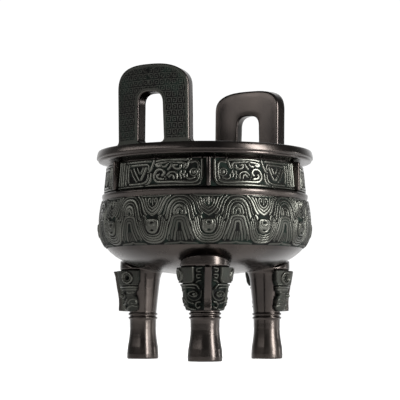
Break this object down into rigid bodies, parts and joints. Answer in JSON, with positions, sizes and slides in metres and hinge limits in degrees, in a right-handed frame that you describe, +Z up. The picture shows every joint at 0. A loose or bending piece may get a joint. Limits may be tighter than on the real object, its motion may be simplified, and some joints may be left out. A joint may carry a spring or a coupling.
{
  "type": "bronze ding vessel",
  "caption": "Cast bronze ding: a round bowl with wave and scroll bands, upright pierced ears on its rim, and column legs with animal masks.",
  "frame": {"origin": "on the ground, under the middle of the bowl", "axes": "+Z up; +X and -X towards the ears; +Y towards the leg that stands alone, so -Y is midway between the other legs"},
  "size_m": [0.2398, 0.2398, 0.312],
  "materials": {
    "dark_bronze": "dark brown polished bronze with green patina in the recesses of the ornament"
  },
  "bodies": {
    "root": {"bronze_ding": "dark_bronze"}
  },
  "joints": []
}
